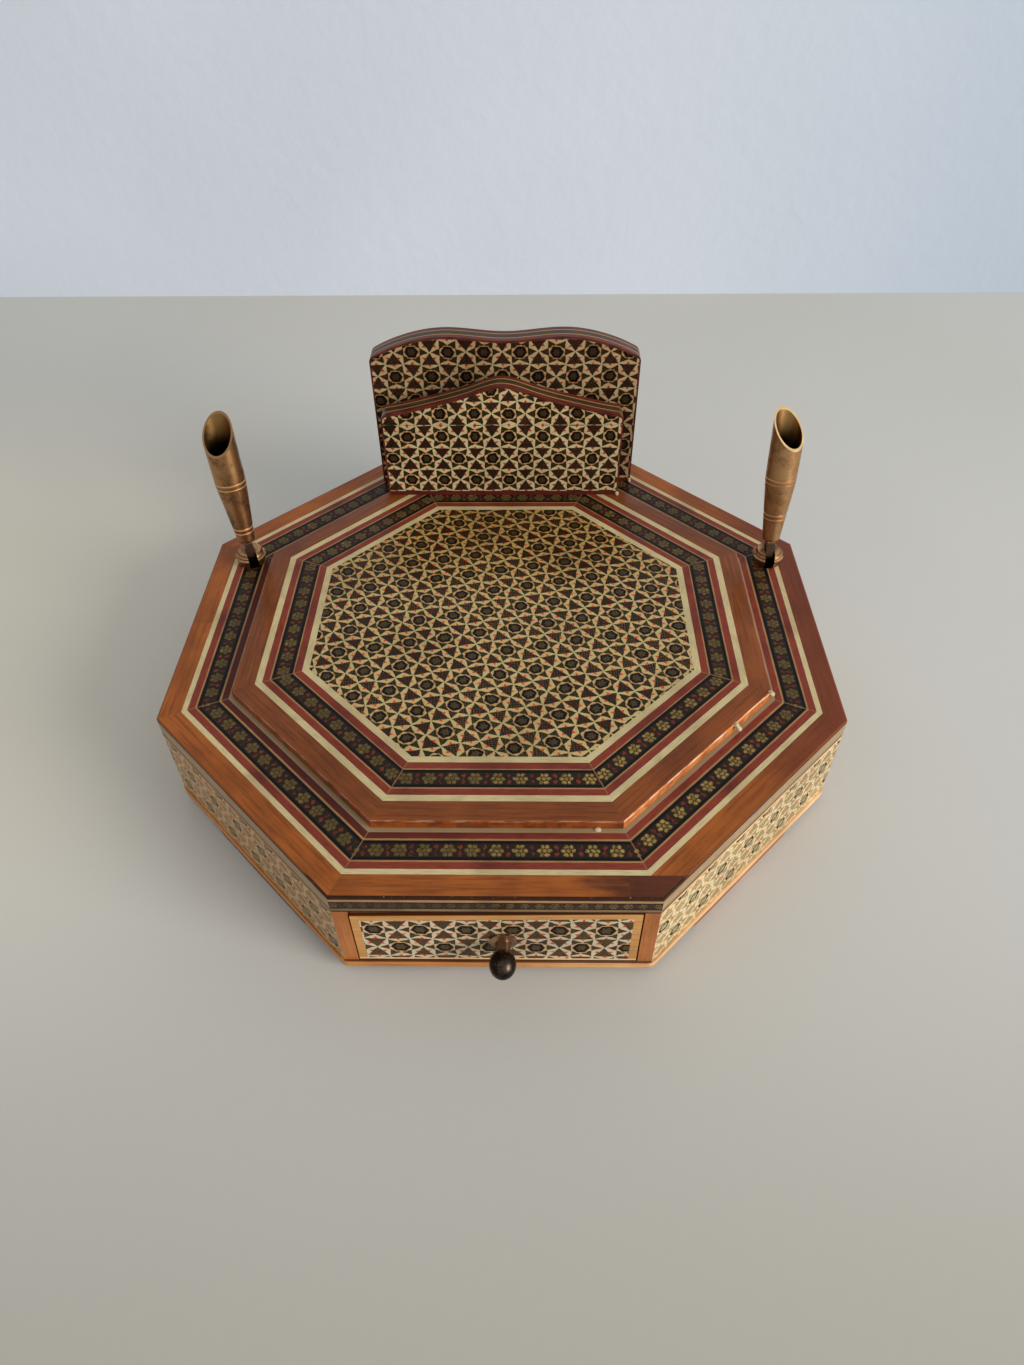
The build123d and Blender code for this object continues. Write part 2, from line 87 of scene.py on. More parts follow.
# ---------------- wiring of shader nodes
class Wires:
    """Short words for placing shader nodes in one tree and joining them."""

    def __init__(self, tree):
        self.tree = tree

    def put(self, kind, **settings):
        node = self.tree.nodes.new(kind)
        for name, value in settings.items():
            setattr(node, name, value)
        return node

    def feed(self, socket, value):
        if isinstance(value, bpy.types.NodeSocket):
            self.tree.links.new(value, socket)
        else:
            socket.default_value = value

    def feed_all(self, sockets, values):
        for socket, value in zip(sockets, values):
            self.feed(socket, value)

    def maths(self, operation, *values):
        node = self.put("ShaderNodeMath", operation=operation)
        self.feed_all(node.inputs, values)
        return node.outputs[0]

    def plus(self, first, *others):
        for other in others:
            first = self.maths("ADD", first, other)
        return first

    def minus(self, first, other):
        return self.maths("SUBTRACT", first, other)

    def times(self, first, *others):
        for other in others:
            first = self.maths("MULTIPLY", first, other)
        return first

    def share(self, value, whole):
        return self.maths("DIVIDE", value, whole)

    def larger(self, first, other):
        return self.maths("MAXIMUM", first, other)

    def smaller(self, first, other):
        return self.maths("MINIMUM", first, other)

    def size(self, value):
        return self.maths("ABSOLUTE", value)

    def apart(self, first, other):
        """How far apart two values are, whichever is larger."""
        return self.size(self.minus(first, other))

    def lift(self, value, factor, start):
        """The value times a factor, counted from a start."""
        return self.plus(self.times(value, factor), start)

    def vector(self, operation, *values):
        node = self.put("ShaderNodeVectorMath", operation=operation)
        self.feed_all(node.inputs, values)
        plain = operation in ("LENGTH", "DISTANCE", "DOT_PRODUCT")
        return node.outputs["Value" if plain else "Vector"]

    def point(self, x, y, z=0.0):
        node = self.put("ShaderNodeCombineXYZ")
        self.feed_all(node.inputs, (x, y, z))
        return node.outputs[0]

    def parts(self, vector):
        node = self.put("ShaderNodeSeparateXYZ")
        self.feed(node.inputs[0], vector)
        return node.outputs

    def ramp(self, value, low, high):
        """0 at low, 1 at high, and smooth between them; low may be the larger one."""
        node = self.put("ShaderNodeMapRange", interpolation_type="SMOOTHSTEP")
        self.feed_all(node.inputs, (value, low, high))
        return node.outputs[0]

    def above(self, value, edge, soft):
        """1 where the value is over the edge, 0 under it, with a soft step between."""
        return self.ramp(self.minus(value, edge), -soft / 2, soft / 2)

    def below(self, value, edge, soft):
        return self.minus(1.0, self.above(value, edge, soft))

    def over(self, amount, under, top, blend="MIX"):
        """One colour laid over another by an amount."""
        node = self.put("ShaderNodeMix", data_type="RGBA", blend_type=blend)
        self.feed_all([node.inputs[index] for index in (0, 6, 7)], (amount, under, top))
        return node.outputs[2]

    def noise(self, vector, scale, detail=2.0, rough=0.5, flat=False):
        """Cloudy noise; three scales stretch it, and with flat it is a colour on a plane."""
        if isinstance(scale, tuple):
            vector, scale = self.vector("MULTIPLY", vector, scale), 1.0
        node = self.put("ShaderNodeTexNoise", noise_dimensions="2D" if flat else "3D")
        self.feed(node.inputs["Vector"], vector)
        for name, value in (("Scale", scale), ("Detail", detail), ("Roughness", rough)):
            node.inputs[name].default_value = value
        return node.outputs["Color" if flat else "Fac"]

    def patches(self, vector, scale, low, high, detail=3.0, rough=0.5):
        """Noise cut into patches: 0 where it is under low and 1 where it is over high."""
        return self.ramp(self.noise(vector, scale, detail, rough), low, high)

    def place_in_mm(self, origin=(0.0, 0.0, 0.0), turn=(0.0, 0.0, 0.0)):
        """The piece's own place in millimetres from an origin, in turned axes."""
        mapping = self.put("ShaderNodeMapping", vector_type="TEXTURE")
        self.feed_all(mapping.inputs, (self.put("ShaderNodeTexCoord").outputs["Object"],
                                       origin, turn, (MM, MM, MM)))
        return mapping.outputs[0]

    def parts_in_mm(self, *place):
        return self.parts(self.place_in_mm(*place))

    def use(self, group, **values):
        """A node group in this tree, with its inputs filled in."""
        node = self.put("ShaderNodeGroup", node_tree=group)
        for name, value in values.items():
            self.feed(node.inputs[name.replace("_", " ")], value)
        return node.outputs


class Effect(Wires):
    """A new node group. Its inputs are given with their usual values; an output called
    Colour is a colour, and the others are numbers."""

    def __init__(self, name, outputs, **inputs):
        super().__init__(bpy.data.node_groups.new(name, "ShaderNodeTree"))
        new_socket = self.tree.interface.new_socket
        for label, value in inputs.items():
            kind = "Float" if isinstance(value, float) else {3: "Vector", 4: "Color"}[len(value)]
            socket = new_socket(name=label.replace("_", " "), in_out="INPUT",
                                socket_type="NodeSocket" + kind)
            socket.default_value = value
        for label in outputs:
            kind = "Color" if label == "Colour" else "Float"
            new_socket(name=label, in_out="OUTPUT", socket_type="NodeSocket" + kind)
        self.entry = self.put("NodeGroupInput").outputs[:len(inputs)]
        self.result = self.put("NodeGroupOutput").inputs

    def give(self, **values):
        """Joins the results to the group's outputs; gives the finished group."""
        for name, value in values.items():
            self.feed(self.result[name], value)
        return self.tree


HALF_CORNER = pi / 8        # half of the angle that an octagon's side takes up


def octagon_sides_effect():
    """Where a point lies, in millimetres: how far out from the octagon's middle, how far
    along its own side, how high, that side's number, and how far from the side's nearer end."""
    net = Effect("octagon sides", ("Out", "Along", "Height", "Side", "Mitre"))
    place = net.place_in_mm(MIDDLE)
    x, y, _ = net.parts(place)
    heading = net.maths("ARCTAN2", y, x)
    side = net.maths("ROUND", net.times(heading, 4 / pi))
    turned = net.put("ShaderNodeVectorRotate", rotation_type="Z_AXIS")
    net.feed(turned.inputs["Vector"], place)
    net.feed(turned.inputs["Angle"], net.times(side, -pi / 4))
    out, along, height = net.parts(turned.outputs[0])
    to_end = net.minus(net.times(out, tan(HALF_CORNER)), net.size(along))
    return net.give(Out=out, Along=along, Height=height, Side=side,
                    Mitre=net.times(to_end, cos(HALF_CORNER)))


def star_inlay_effect():
    """Six-pointed stars around black hexagons: cream chevrons with a red chip in each,
    olive points, and brown triangles of fine mosaic between the stars."""
    net = Effect("star inlay", ("Colour", "Relief"), Along=0.0, Across=0.0, Pitch=14.2,
                 Row_gap=10.8, Hexagon=0.165, Cream=CREAM, Brown=BLACK, Speck=GOLD,
                 Olive=BLACK, Red=paint(186, 66, 34), Gold=GOLD)
    drawn_along, drawn_across, pitch, row_gap, hexagon, *paints = net.entry
    cream, brown, speck, olive, red, gold = paints
    root3 = 3 ** 0.5
    wander = 1.8                   # millimetres, the most that hand-laid pieces stray
    rods_along, rods_across = 4.7, 5.2      # the fine mosaic's waves, radians a millimetre
    # from here on, shares of the pitch
    joint = 0.014                  # softness of the joint between two pieces
    chevron_end, chip_end = 0.438, 0.45
    point_tip, point_flare, point_foot = 0.268, root3, 0.052
    chip_tip, chip_flare = 0.348, 0.58
    gold_rim = 0.026

    flat = net.point(drawn_along, drawn_across)
    drift = net.noise(flat, 0.13, 4.0, 0.62, flat=True)
    strayed = net.vector("MULTIPLY", net.vector("SUBTRACT", drift, (0.5, 0.5, 0.5)),
                         (wander, wander, wander))
    along, across, _ = net.parts(net.vector("ADD", flat, strayed))
    x = net.share(along, pitch)
    y = net.times(net.share(across, row_gap), root3 / 2)
    long_y = net.share(y, root3)

    def offset(value, shift, unit):
        cell = net.plus(net.maths("ROUND", net.minus(value, shift)), shift)
        return net.times(net.minus(value, cell), unit)

    def squares(p, q):
        return net.plus(net.times(p, p), net.times(q, q))

    # the stars stand on two nested grids, and a point belongs to the nearer star
    ax, ay = offset(x, 0.0, 1.0), offset(long_y, 0.0, root3)
    bx, by = offset(x, 0.5, 1.0), offset(long_y, 0.5, root3)
    second = net.maths("LESS_THAN", squares(bx, by), squares(ax, ay))

    def pick(first, other):
        return net.plus(first, net.times(net.minus(other, first), second))

    dx, dy = pick(ax, bx), pick(ay, by)
    wide, high = net.size(dx), net.size(dy)

    def from_heart(height):
        slanted = net.plus(net.times(wide, root3 / 2), net.times(height, 0.5))
        return net.larger(height, slanted)

    # p runs from a hexagon out through the middle of its side, q along that side
    p = from_heart(high)
    q = net.maths("SQRT", net.larger(net.minus(squares(dx, dy), net.times(p, p)), 0.0))
    # the rows are squeezed together, but each hexagon keeps equal sides
    squeeze = net.share(row_gap, net.times(pitch, root3 / 2))
    ring = net.minus(from_heart(net.times(high, squeeze)), hexagon)

    def beside(start, flare):
        """How far a point lies outside a wedge that widens from its start."""
        return net.minus(q, net.times(net.minus(p, start), flare))

    rods = net.times(net.maths("SINE", net.times(along, rods_along)),
                     net.maths("SINE", net.times(across, rods_across)))
    clump = net.noise(flat, 0.9, 3.0, 0.7)
    specks = net.times(net.ramp(rods, 0.0, 0.5), net.ramp(clump, 0.3, 0.62))
    bone = net.noise(flat, 0.42, 3.0, 0.6)
    rich = net.patches(flat, 0.022, 0.42, 0.56, 2.0)
    busy = net.times(specks, net.lift(rich, 0.6, 0.35))
    near_ring = net.times(net.below(p, 0.33, 0.12), 0.7)
    old = net.larger(net.ramp(bone, 0.42, 0.68), near_ring)
    chevron = net.over(old, cream, net.over(0.55, cream, gold))
    mosaic = net.over(busy, brown, speck)
    colour = net.over(net.above(p, chevron_end, joint), chevron, mosaic)
    # each point is a triangle standing on a tan surround, tip outwards
    towards_tip = net.plus(net.times(p, root3 / 2), net.times(q, 0.5))
    stand = net.minus(net.minus(towards_tip, point_foot), hexagon)
    in_point = net.times(net.above(beside(point_tip, point_flare), 0.0, joint),
                         net.above(stand, 0.0, joint), net.below(p, chevron_end, joint))
    colour = net.over(in_point, colour, net.over(net.times(busy, 0.7), olive, speck))
    in_chip = net.times(net.below(beside(chip_tip, chip_flare), 0.0, joint),
                        net.below(p, chip_end, joint), net.ramp(clump, 0.78, 0.55))
    colour = net.over(in_chip, colour, red)
    colour = net.over(net.below(ring, gold_rim, joint), colour, gold)
    colour = net.over(net.below(ring, 0.0, joint), colour, BLACK)
    # an eye of mosaic, notched at its corners, fills the hexagon's middle
    notched = net.minus(ring, net.times(q, 0.45))
    eye = net.below(net.plus(notched, net.times(hexagon, 0.52)), 0.0, 0.02)
    heart = net.over(net.times(specks, 0.7), olive, speck)
    colour = net.over(net.times(eye, 0.9), colour, net.over(0.25, heart, speck))
    return net.give(Colour=colour, Relief=bone)


def flower_band_effect():
    """A dark band with a row of little seven-dot flowers and red triangles between them."""
    net = Effect("flower band", ("Colour",), Along=0.0, Across=0.0, Pitch=7.4, Size=1.0,
                 Fade=0.5, Ground=paint(38, 27, 17), Petal=paint(160, 130, 68),
                 Red=paint(124, 52, 34))
    drawn_along, drawn_across, pitch, size, unlit, ground, petal, red = net.entry
    dots = ((0.0, 0.0), (1.66, 0.0), (0.83, 1.44))      # of one quarter; the rest mirror them
    dot_radius, band_half, waist, shake = 0.78, 2.5, 0.72, 2.6      # millimetres at size 1

    flat = net.point(drawn_along, drawn_across)
    stray = net.times(net.minus(net.noise(flat, 0.35, 3.0, 0.65), 0.5), shake)
    x = net.share(net.plus(drawn_along, stray), pitch)
    from_flower = net.times(net.minus(x, net.maths("ROUND", x)), pitch)
    along = net.share(net.size(from_flower), size)
    across = net.share(net.size(drawn_across), size)
    near = None
    for dot_along, dot_across in dots:
        gap = net.vector("DISTANCE", net.point(along, across), (dot_along, dot_across, 0.0))
        near = gap if near is None else net.smaller(near, gap)
    worn = net.noise(flat, 0.5, 3.0, 0.7)
    gone = net.lift(net.patches(flat, 0.035, 0.35, 0.55, 2.0), 0.35, 0.6)
    # painted shade: the input given for places away from the light dulls the dots more
    dulled = net.plus(net.times(net.ramp(worn, 0.44, 0.64), 0.9), net.times(gone, unlit))
    dark = net.over(0.78, petal, ground)
    dot = net.over(net.smaller(dulled, 1.0), petal, dark)
    dot = net.over(net.ramp(near, 0.35, 0.85), dot, dark)
    band = net.over(net.below(across, band_half, 0.3), BLACK, ground)
    colour = net.over(net.below(near, dot_radius, 0.14), band, dot)
    # the red triangles stand tip to tip, half way between two flowers
    halfway = net.share(net.times(pitch, 0.5), size)
    half_width = net.times(net.maths("PINGPONG", across, 1.15), waist)
    triangle = net.times(net.below(net.minus(halfway, along), half_width, 0.12),
                         net.below(across, 2.3, 0.15))
    redness = net.times(triangle, net.ramp(worn, 0.62, 0.4), 0.85)
    return net.give(Colour=net.over(redness, colour, red))


def wood_grain_effect():
    """Long grain with pores and darker clouds, along the first axis of its place."""
    net = Effect("wood grain", ("Colour", "Relief"), Place=(0.0, 0.0, 0.0), Wood=CREAM,
                 Vein=BLACK, Contrast=0.5)
    place, wood, vein, contrast = net.entry
    figure = net.noise(place, (0.05, 0.9, 0.9), 4.0, 0.6)
    colour = net.over(net.times(net.ramp(figure, 0.4, 0.72), contrast), wood, vein)
    cloud = net.times(net.patches(place, 0.045, 0.4, 0.7), contrast, 0.7)
    colour = net.over(cloud, colour, vein)
    pore = net.times(net.patches(place, (0.25, 3.2, 3.2), 0.6, 0.75, 2.0), 0.35)
    colour = net.over(pore, colour, vein, "MULTIPLY")
    return net.give(Colour=colour, Relief=net.minus(figure, pore))


def tarnish_effect():
    """Brown patches and fine wear on turned metal."""
    net = Effect("tarnish", ("Colour", "Dull", "Relief"), Metal=GOLD, Patina=BLACK,
                 Amount=0.5)
    metal, patina, amount = net.entry
    place = net.place_in_mm()
    cloud = net.noise(place, 0.16, 4.0, 0.6)
    speck = net.noise(place, 1.3, 3.0, 0.65)
    level = net.plus(net.times(cloud, 0.7), net.times(speck, 0.3))
    edge = net.minus(0.78, net.times(amount, 0.5))
    patch = net.ramp(net.minus(level, edge), -0.12, 0.12)
    return net.give(Colour=net.over(patch, metal, patina),
                    Dull=net.lift(patch, 0.16, 0.26), Relief=speck)


def old_varnish_effect():
    """Slow stains under old varnish, and smears that dull its gloss."""
    net = Effect("old varnish", ("Colour", "Dull"), Colour=CREAM, Depth=0.3, Gloss=0.3)
    colour, depth, gloss = net.entry
    place = net.place_in_mm()
    stain = net.times(net.patches(place, 0.028, 0.42, 0.72, 4.0, 0.55), depth)
    smear = net.noise(place, (0.09, 0.2, 0.15), 4.0, 0.6)
    return net.give(Colour=net.over(stain, colour, paint(150, 122, 92), "MULTIPLY"),
                    Dull=net.plus(gloss, net.times(smear, 0.2)))


SIDES_OF_OCTAGON = octagon_sides_effect()
OLD_VARNISH = old_varnish_effect()
STAR_INLAY = star_inlay_effect()
FLOWER_BAND = flower_band_effect()
WOOD_GRAIN = wood_grain_effect()
TARNISH = tarnish_effect()


# ---------------- materials
class Finish(Wires):
    """A new material with its shader, and what is laid over its colour."""

    def __init__(self, name, coat=0.16, metal=0.0, level=0.15):
        self.material = bpy.data.materials.new(name)
        self.material.use_nodes = True
        super().__init__(self.material.node_tree)
        self.tree.nodes.clear()
        self.shader = self.put("ShaderNodeBsdfPrincipled")
        for label, value in (("Coat Weight", coat), ("Coat Roughness", 0.1),
                             ("Metallic", metal), ("Specular IOR Level", level)):
            self.shader.inputs[label].default_value = value
        output = self.put("ShaderNodeOutputMaterial")
        self.feed(output.inputs["Surface"], self.shader.outputs[0])

    def emboss(self, height, strength, distance=0.0002):
        bump = self.put("ShaderNodeBump")
        bump.inputs["Strength"].default_value = strength
        bump.inputs["Distance"].default_value = distance
        self.feed(bump.inputs["Height"], height)
        self.feed(self.shader.inputs["Normal"], bump.outputs[0])

    def wood(self, place, wood, vein, contrast, relief=0.12):
        """The colour of wood with its grain along the first axis of a place, embossed."""
        grain = self.use(WOOD_GRAIN, Place=place, Wood=wood, Vein=vein, Contrast=contrast)
        self.emboss(grain["Relief"], relief)
        return grain["Colour"]

    def show(self, colour, rough):
        """Gives the shader its colour and roughness; the material is then done."""
        self.feed(self.shader.inputs["Base Color"], colour)
        self.feed(self.shader.inputs["Roughness"], rough)
        return self.material

    def varnish(self, colour, depth=0.3, gloss=0.3):
        """Shows a colour under old varnish, with slow stains and duller smears."""
        coat = self.use(OLD_VARNISH, Colour=colour, Depth=depth, Gloss=gloss)
        return self.show(coat["Colour"], coat["Dull"])


class Framed(Finish):
    """A finish for what runs around the octagon in eight lengths."""

    def __init__(self, name, **settings):
        super().__init__(name, **settings)
        self.out, self.along, self.height, self.side, self.mitre = self.use(SIDES_OF_OCTAGON)

    def board(self):
        """Place along the eight lengths, with another stretch of board for each side."""
        shift = 37.0
        along = self.plus(self.along, self.times(self.side, shift))
        return self.point(along, self.out, self.height)

    def on_side(self, number):
        """1 on one of the eight sides and 0 on the others."""
        return self.below(self.apart(self.side, number), 0.5, 0.2)

    def mitred(self, colour, seam):
        """A colour with a seam where two lengths meet at a corner, if there is one."""
        if seam is None:
            return colour
        return self.over(self.below(self.mitre, 0.18, 0.12), colour, seam)

    def strip(self, colour, dark):
        """The grain of a thin strip: short streaks and a slow stain."""
        place = self.point(self.along, self.out, self.height)
        streaks = self.patches(place, (0.22, 2.2, 2.2), 0.4, 0.75)
        stain = self.times(self.patches(place, 0.06, 0.45, 0.75), 0.5)
        streaky = self.over(streaks, colour, self.over(0.45, colour, dark))
        return self.over(stain, streaky, dark)


def plain_wood(name, wood, vein, contrast=0.5, along="X", varnished=False):
    """Wood whose grain runs along one axis of the piece."""
    look = Finish(name, coat=0.16 if varnished else 0.0)
    x, y, z = look.parts_in_mm()
    order = {"X": (x, y, z), "Y": (y, x, z), "Z": (z, x, y)}[along]
    grain = look.wood(look.point(*order), wood, vein, contrast, 0.1 if varnished else 0.3)
    return look.varnish(grain, 0.25, 0.32 if varnished else 0.6)


def framed_wood(name, wood, lit_right_wood, vein, contrast, seam=None):
    """Varnished wood in eight mitred lengths, painted paler towards the right of the case where
    the light falls; on the front length a dark line of painted shade lies above the seam's
    height."""
    look = Framed(name)
    x, _, _ = look.parts_in_mm()
    # painted light: paler towards the right of the case, where the light falls
    tone = look.over(look.ramp(x, -20.0, 95.0), wood, lit_right_wood)
    colour = look.wood(look.board(), tone, vein, contrast)
    if seam is not None:
        # painted shade: a dark line on the front length above the seam's height, in the gap under
        # the drawer
        dirt = look.times(look.on_side(FRONT_SIDE), look.above(look.height, seam, 0.15), 0.85)
        colour = look.over(dirt, colour, paint(70, 32, 16))
    return look.varnish(colour)


def tier_wood():
    """The tier's border, brown on top and amber on its upright edge, which painted light makes
    brightest at the front right."""
    look = Framed("tier wood")
    place = look.board()
    top_wood = look.wood(place, paint(130, 68, 26), paint(80, 38, 13), 0.6)
    worn = look.times(look.noise(place, 0.5, 3.0), 0.5)
    rim = look.above(look.plus(look.out, worn), TIER_EDGE - 0.1, 0.25)
    # painted light: the upright edge is brighter on the front right side, which faces the light
    lit_side = look.on_side(FRONT_RIGHT_SIDE)
    patch = look.patches(place, 0.3, 0.35, 0.7)
    side_wood = look.over(patch, look.over(lit_side, paint(150, 76, 30), paint(212, 130, 64)),
                          look.over(lit_side, paint(112, 54, 22), paint(170, 88, 38)))
    colour = look.over(rim, top_wood, side_wood)
    # painted highlight: pale broken streaks along the rounded edge, strongest on the front right
    edge_highlight = look.times(look.patches(place, (0.16, 1.2, 1.2), 0.44, 0.6, 4.0, 0.65),
                        look.above(look.height, TIER_LEVEL - 0.75, 0.3),
                        look.above(look.out, TIER_EDGE - 0.32, 0.15),
                        look.lift(lit_side, 0.65, 0.2))
    return look.varnish(look.over(edge_highlight, colour, paint(240, 206, 180)))


def deck_wood():
    """The deck's border: orange brown on the left, redder on the right, and a dark knot in
    the front length near its right end."""
    look = Framed("deck wood")
    x, y, z = look.parts_in_mm(MIDDLE)
    # the front length is not mitred at its right end: it runs through to the edge
    runs_on = look.times(look.below(y, DECK_BORDER - DECK_EDGE, 0.1), look.above(x, 40.0, 0.1))
    place = look.over(runs_on, look.board(), look.point(x, look.times(y, -1.0), z))
    tone = look.over(look.ramp(x, 70.0, 116.0), paint(160, 86, 25), paint(117, 54, 25))
    grain = look.wood(place, tone, paint(92, 42, 13), 0.6)
    front = look.larger(look.on_side(FRONT_SIDE), runs_on)
    rings = look.times(look.noise(place, (0.1, 0.5, 0.5), 3.0), 20.0)
    cloud = look.times(look.noise(look.point(x, y), 0.12, 3.0), 16.0)
    knot = look.times(look.ramp(look.plus(x, cloud, rings), 40.0, 58.0), front, 0.8)
    return look.varnish(look.over(knot, grain, paint(58, 22, 10)))


def framed_line(name, colour, dark, mitre=None, tier_foot_shade=None, shaded=0.0):
    """A thin inlaid line of one colour, with painted shade, if its colour is given, where it lies
    against the tier's foot; shaded paints the tier's shadow on it nearest the tier, front and
    left."""
    against_tier, nearest_tier = 97.3, 99.3        # millimetres out, where they begin
    look = Framed(name, coat=0.1, level=0.12)
    tint = look.strip(colour, dark)
    if tier_foot_shade is not None:
        # painted shade where the line lies against the tier's foot
        foot = look.times(look.below(look.out, against_tier, 0.2),
                          look.below(look.height, DECK_LEVEL + 0.5, 0.1))
        tint = look.over(foot, tint, tier_foot_shade)
    if shaded:
        x, _, _ = look.parts_in_mm()
        inner = look.times(look.below(look.out, nearest_tier, 0.2),
                           look.above(look.out, TIER_LINES_END, 0.2),
                           look.ramp(x, 45.0, -60.0), shaded)
        tint = look.over(inner, tint, dark)
    return look.varnish(look.mitred(tint, mitre), 0.2)


def gold_lines():
    """The thin lines beside the flower bands, with a dark seam on the band's side."""
    band_half = 3.6
    look = Framed("gold line", coat=0.1, level=0.12)
    tint = look.strip(paint(166, 120, 74), paint(84, 56, 34))
    on_deck = look.above(look.out, TIER_LINES_END, 0.2)
    band = look.lift(on_deck, DECK_BAND - TIER_BAND, TIER_BAND)
    seam = look.below(look.apart(look.out, band), band_half, 0.15)
    return look.varnish(look.over(seam, tint, paint(40, 26, 18)), 0.2)


def drawer_border_wood():
    """Pale wood around the drawer's front, with painted shade where it meets the case."""
    look = Finish("drawer border wood")
    face = look.place_in_mm((0.0, drawer_low.y, 0.0))
    grain = look.wood(face, paint(206, 150, 86), paint(150, 94, 46), 0.45, 0.1)
    _, depth, height = look.parts(face)
    # the strip under the inlay is paler and pinker
    paler_strip = look.times(look.below(height, drawer_low.z / MM, 0.3), 0.75)
    tint = look.over(paler_strip, grain, paint(244, 204, 160))
    # painted shade on the border behind its front face, in the gap under the case
    behind = look.above(depth, 0.25, 0.2)
    return look.varnish(look.over(behind, tint, paint(84, 44, 24)), 0.25)


def dark_line():
    """The deck's outermost line: browner away from the front, where it has pale chips."""
    front_line = -112.0
    look = Framed("dark edge line", coat=0.06, level=0.1)
    _, y, _ = look.parts_in_mm(MIDDLE)
    from_front = look.above(y, front_line, 3.0)
    away = look.times(look.above(look.height, DECK_LEVEL - 0.25, 0.2), from_front, 0.8)
    tint = look.over(away, look.strip(paint(60, 30, 13), paint(28, 14, 7)), paint(140, 74, 34))
    knocked = look.times(look.patches(look.board(), (0.8, 1.6, 1.6), 0.66, 0.73, 3.0, 0.7),
                         look.minus(1.0, from_front),
                         look.above(look.height, DECK_LEVEL - 0.5, 0.2))
    return look.varnish(look.over(knocked, tint, paint(206, 186, 160)), 0.2)


def edge_line():
    """The pale lines along the deck's edge: the lower one is duller."""
    look = Framed("pale edge line")
    pale = look.strip(paint(178, 134, 94), paint(112, 78, 48))
    dull = look.strip(paint(140, 110, 78), paint(80, 58, 38))
    upper = look.above(look.height, STRIP_MIDDLE, 0.1)
    return look.varnish(look.over(upper, dull, pale), 0.2)


def flower_frame(name, middle, upright=False, mitre=None, **settings):
    """The flower band laid around the octagon; middle is its centre line in millimetres."""
    look = Framed(name, coat=0.08, level=0.1)
    across = look.minus(look.height if upright else look.out, middle)
    # painted light: the flowers are golden near the lit front right corner, dulled by painted
    # shade elsewhere
    lit_spot = (48.0 * MM, CENTRE_Y - 92.0 * MM, DECK_TOP)
    away = look.vector("LENGTH", look.place_in_mm(lit_spot))
    band = look.use(FLOWER_BAND, Along=look.along, Across=across,
                    Fade=look.ramp(away, 22.0, 85.0), **settings)
    colour = look.mitred(band["Colour"], mitre)
    if upright:
        # the band is paler on every side but the front
        paler_off_front = look.lift(look.on_side(FRONT_SIDE), -0.5, 0.5)
        colour = look.over(paler_off_front, colour, paint(206, 178, 134))
    return look.varnish(colour, 0.2)


def lay_stars(look, along, across, pitch, row_gap, painted_shade=0.0, brown=CREAM, **paints):
    """Shows star inlay under varnish, darkened by an amount of painted shade."""
    inlay = look.use(STAR_INLAY, Along=along, Across=across, Pitch=pitch, Row_gap=row_gap,
                     **paints)
    look.emboss(inlay["Relief"], 0.05)
    return look.varnish(look.over(painted_shade, inlay["Colour"], brown, "MULTIPLY"), gloss=0.26)


def field_stars():
    """The top's field: its rows of stars run slantwise and lean a little to one side, and painted
    shade darkens it towards the letter rack."""
    look = Finish("star inlay of the top", coat=0.06, level=0.1)
    anchor = (-19.6 * MM, CENTRE_Y + 59.6 * MM, 0.0)
    row_turn, row_lean = radians(137.2), 0.0463
    along, across, _ = look.parts_in_mm(anchor, (0.0, 0.0, row_turn))
    leaning = look.minus(along, look.times(across, row_lean))
    _, y, _ = look.parts_in_mm(MIDDLE)
    # painted shade: darker towards the letter rack
    return lay_stars(look, leaning, across, 14.23, 10.72, look.ramp(y, 0.0, 60.0),
                     paint(230, 216, 190), Cream=paint(189, 166, 112),
                     Brown=paint(33, 24, 13), Speck=paint(106, 87, 54),
                     Olive=paint(41, 31, 12), Gold=paint(176, 134, 84))


def panel_stars(name, anchor_x, anchor_z, pitch, row_gap, seam=None, **paints):
    """Stars on an upright board that faces the front; above a seam they are set over."""
    look = Finish(name, coat=0.05, level=0.08)
    x, _, z = look.parts_in_mm((anchor_x * MM, 0.0, anchor_z))
    if seam is not None:
        x = look.plus(x, look.times(look.above(z, seam, 0.01), pitch / 2))
    return lay_stars(look, x, z, pitch, row_gap, **paints)


def wall_stars():
    """Bleached stars on the walls, darkened by painted shade towards the left; only the hexagons
    stay dark.
    """
    look = Framed("star inlay of the walls", coat=0.08, level=0.1)
    row_height, shift = 14.0, 5.3
    along = look.plus(look.along, look.times(look.side, shift))
    x, _, _ = look.parts_in_mm()
    # painted shade: darker towards the left, away from the light
    return lay_stars(look, along, look.minus(look.height, row_height), 14.8, 10.9,
                     look.ramp(x, 20.0, -60.0), paint(234, 212, 196),
                     Cream=paint(220, 200, 158), Brown=paint(150, 128, 86),
                     Speck=paint(206, 186, 140), Olive=paint(146, 124, 82),
                     Red=paint(196, 116, 76), Gold=paint(218, 186, 130))


def layered_edge(name, low, high):
    """The top and ends of a rack board: red, a gold line, olive, a gold line, red."""
    gold_half, olive_half = 2.15, 1.6
    look = Finish(name)
    place = look.place_in_mm((0.0, low.y, 0.0))
    _, y, _ = look.parts(place)
    from_middle = look.apart(y, (high.y - low.y) / MM / 2)
    streak = look.patches(place, (0.15, 2.0, 0.15), 0.35, 0.7)
    red = look.over(streak, paint(104, 44, 34), paint(64, 28, 24))
    olive = look.over(streak, paint(70, 54, 32), paint(42, 34, 22))
    colour = look.over(look.below(from_middle, gold_half, 0.15), red, GOLD)
    return look.varnish(look.over(look.below(from_middle, olive_half, 0.15), colour, olive))


